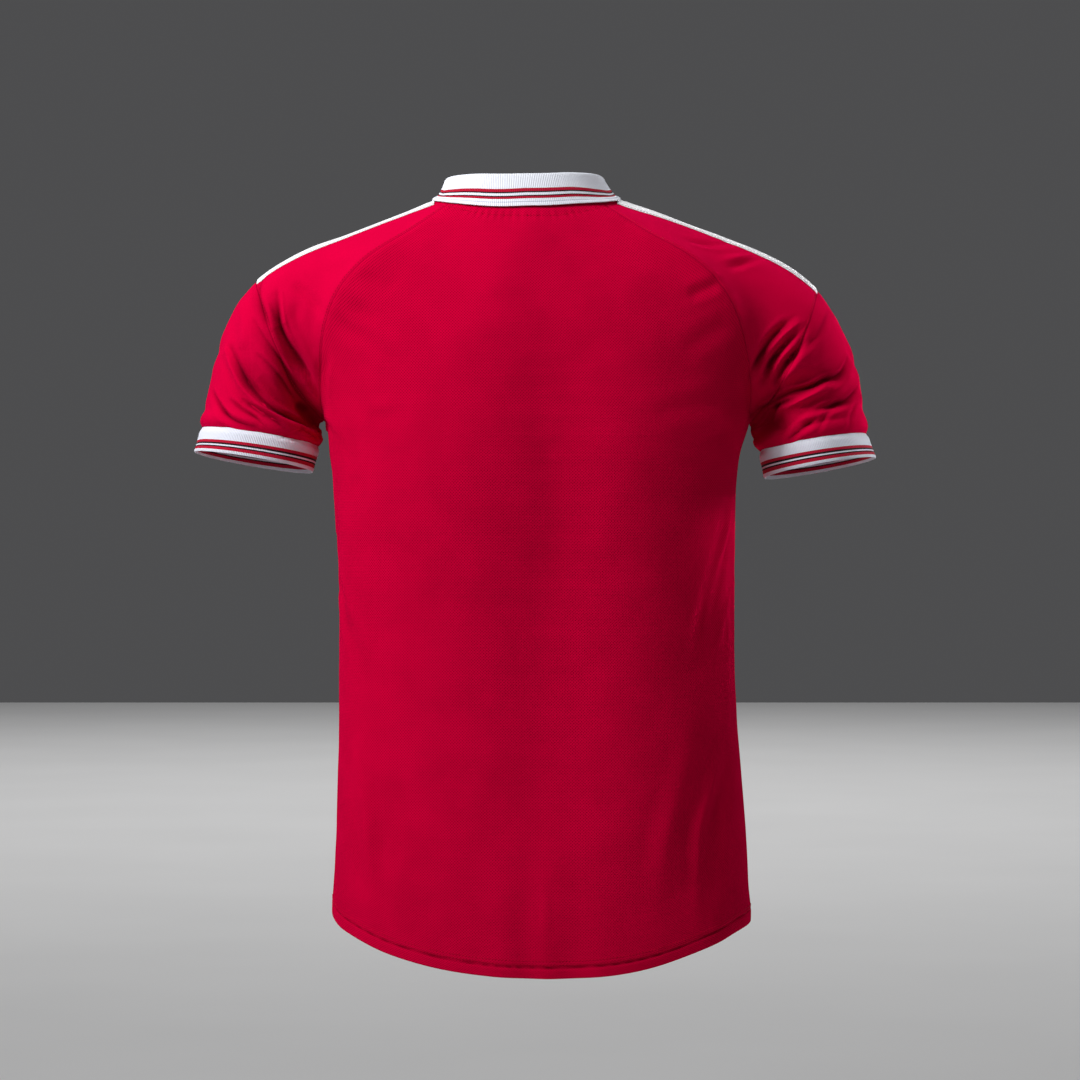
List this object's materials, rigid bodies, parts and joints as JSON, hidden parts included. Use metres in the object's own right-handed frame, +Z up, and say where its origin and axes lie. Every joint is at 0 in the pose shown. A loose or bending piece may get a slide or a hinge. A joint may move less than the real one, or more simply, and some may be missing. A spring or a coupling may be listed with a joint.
{
  "type": "football jersey",
  "caption": "Short-sleeved knit football jersey, worn: raglan-cut body, saddle shoulder panels with a white band, and a striped rib collar and cuffs.",
  "frame": {"origin": "between the shoulders at the base of the neck, where the wearer's shoulders hold the jersey up", "axes": "+Z up along the wearer's back, +Y the way the wearer faces, +X to the wearer's right"},
  "size_m": [0.6512, 0.2363, 0.75],
  "materials": {
    "mesh_knit": "crimson polyester mesh knit, fine and slightly lustrous",
    "plain_knit": "crimson smooth interlock knit with a soft sheen",
    "rib_knit": "white flat-knit rib with red and black tipping stripes",
    "tape": "plain white knit tape"
  },
  "bodies": {
    "root": {"back": "mesh_knit", "front": "mesh_knit", "shoulder_panel_left": "plain_knit", "shoulder_panel_right": "plain_knit", "sleeve_left": "plain_knit", "sleeve_right": "plain_knit", "cuff_left": "rib_knit", "cuff_right": "rib_knit", "collar": "rib_knit", "shoulder_stripe_left": "tape", "shoulder_stripe_right": "tape"}
  },
  "joints": []
}
